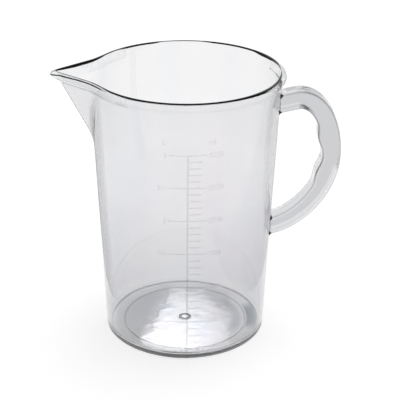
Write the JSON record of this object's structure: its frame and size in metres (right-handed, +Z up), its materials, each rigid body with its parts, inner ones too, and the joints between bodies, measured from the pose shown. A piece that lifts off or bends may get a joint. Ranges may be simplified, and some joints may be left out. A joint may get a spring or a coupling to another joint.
{
  "type": "measuring jug",
  "caption": "Clear plastic measuring jug with a tapered round body, a V spout, a solid bar handle with finger hollows and a raised litre scale.",
  "frame": {"origin": "middle of the footprint, which runs from the spout's tip to the handle's back, on the plane that the jug rests on; the jug's own axis stands at x = -0.00985 m", "axes": "+Z up along the jug's axis, -X towards the spout, +X towards the handle, -Y towards the scale"},
  "size_m": [0.2418, 0.1656, 0.2343],
  "materials": {
    "clear_plastic": "clear moulded polycarbonate, polished",
    "cement": "cured clear cement with a rounded bead",
    "scale_relief": "raised, finely matt clear plastic"
  },
  "bodies": {
    "root": {"vessel": "clear_plastic", "handle": "clear_plastic", "upper_bond_seam": "cement", "lower_bond_seam": "cement", "scale_spine": "scale_relief", "litre_lines": "scale_relief", "tenth_lines": "scale_relief"}
  },
  "joints": []
}
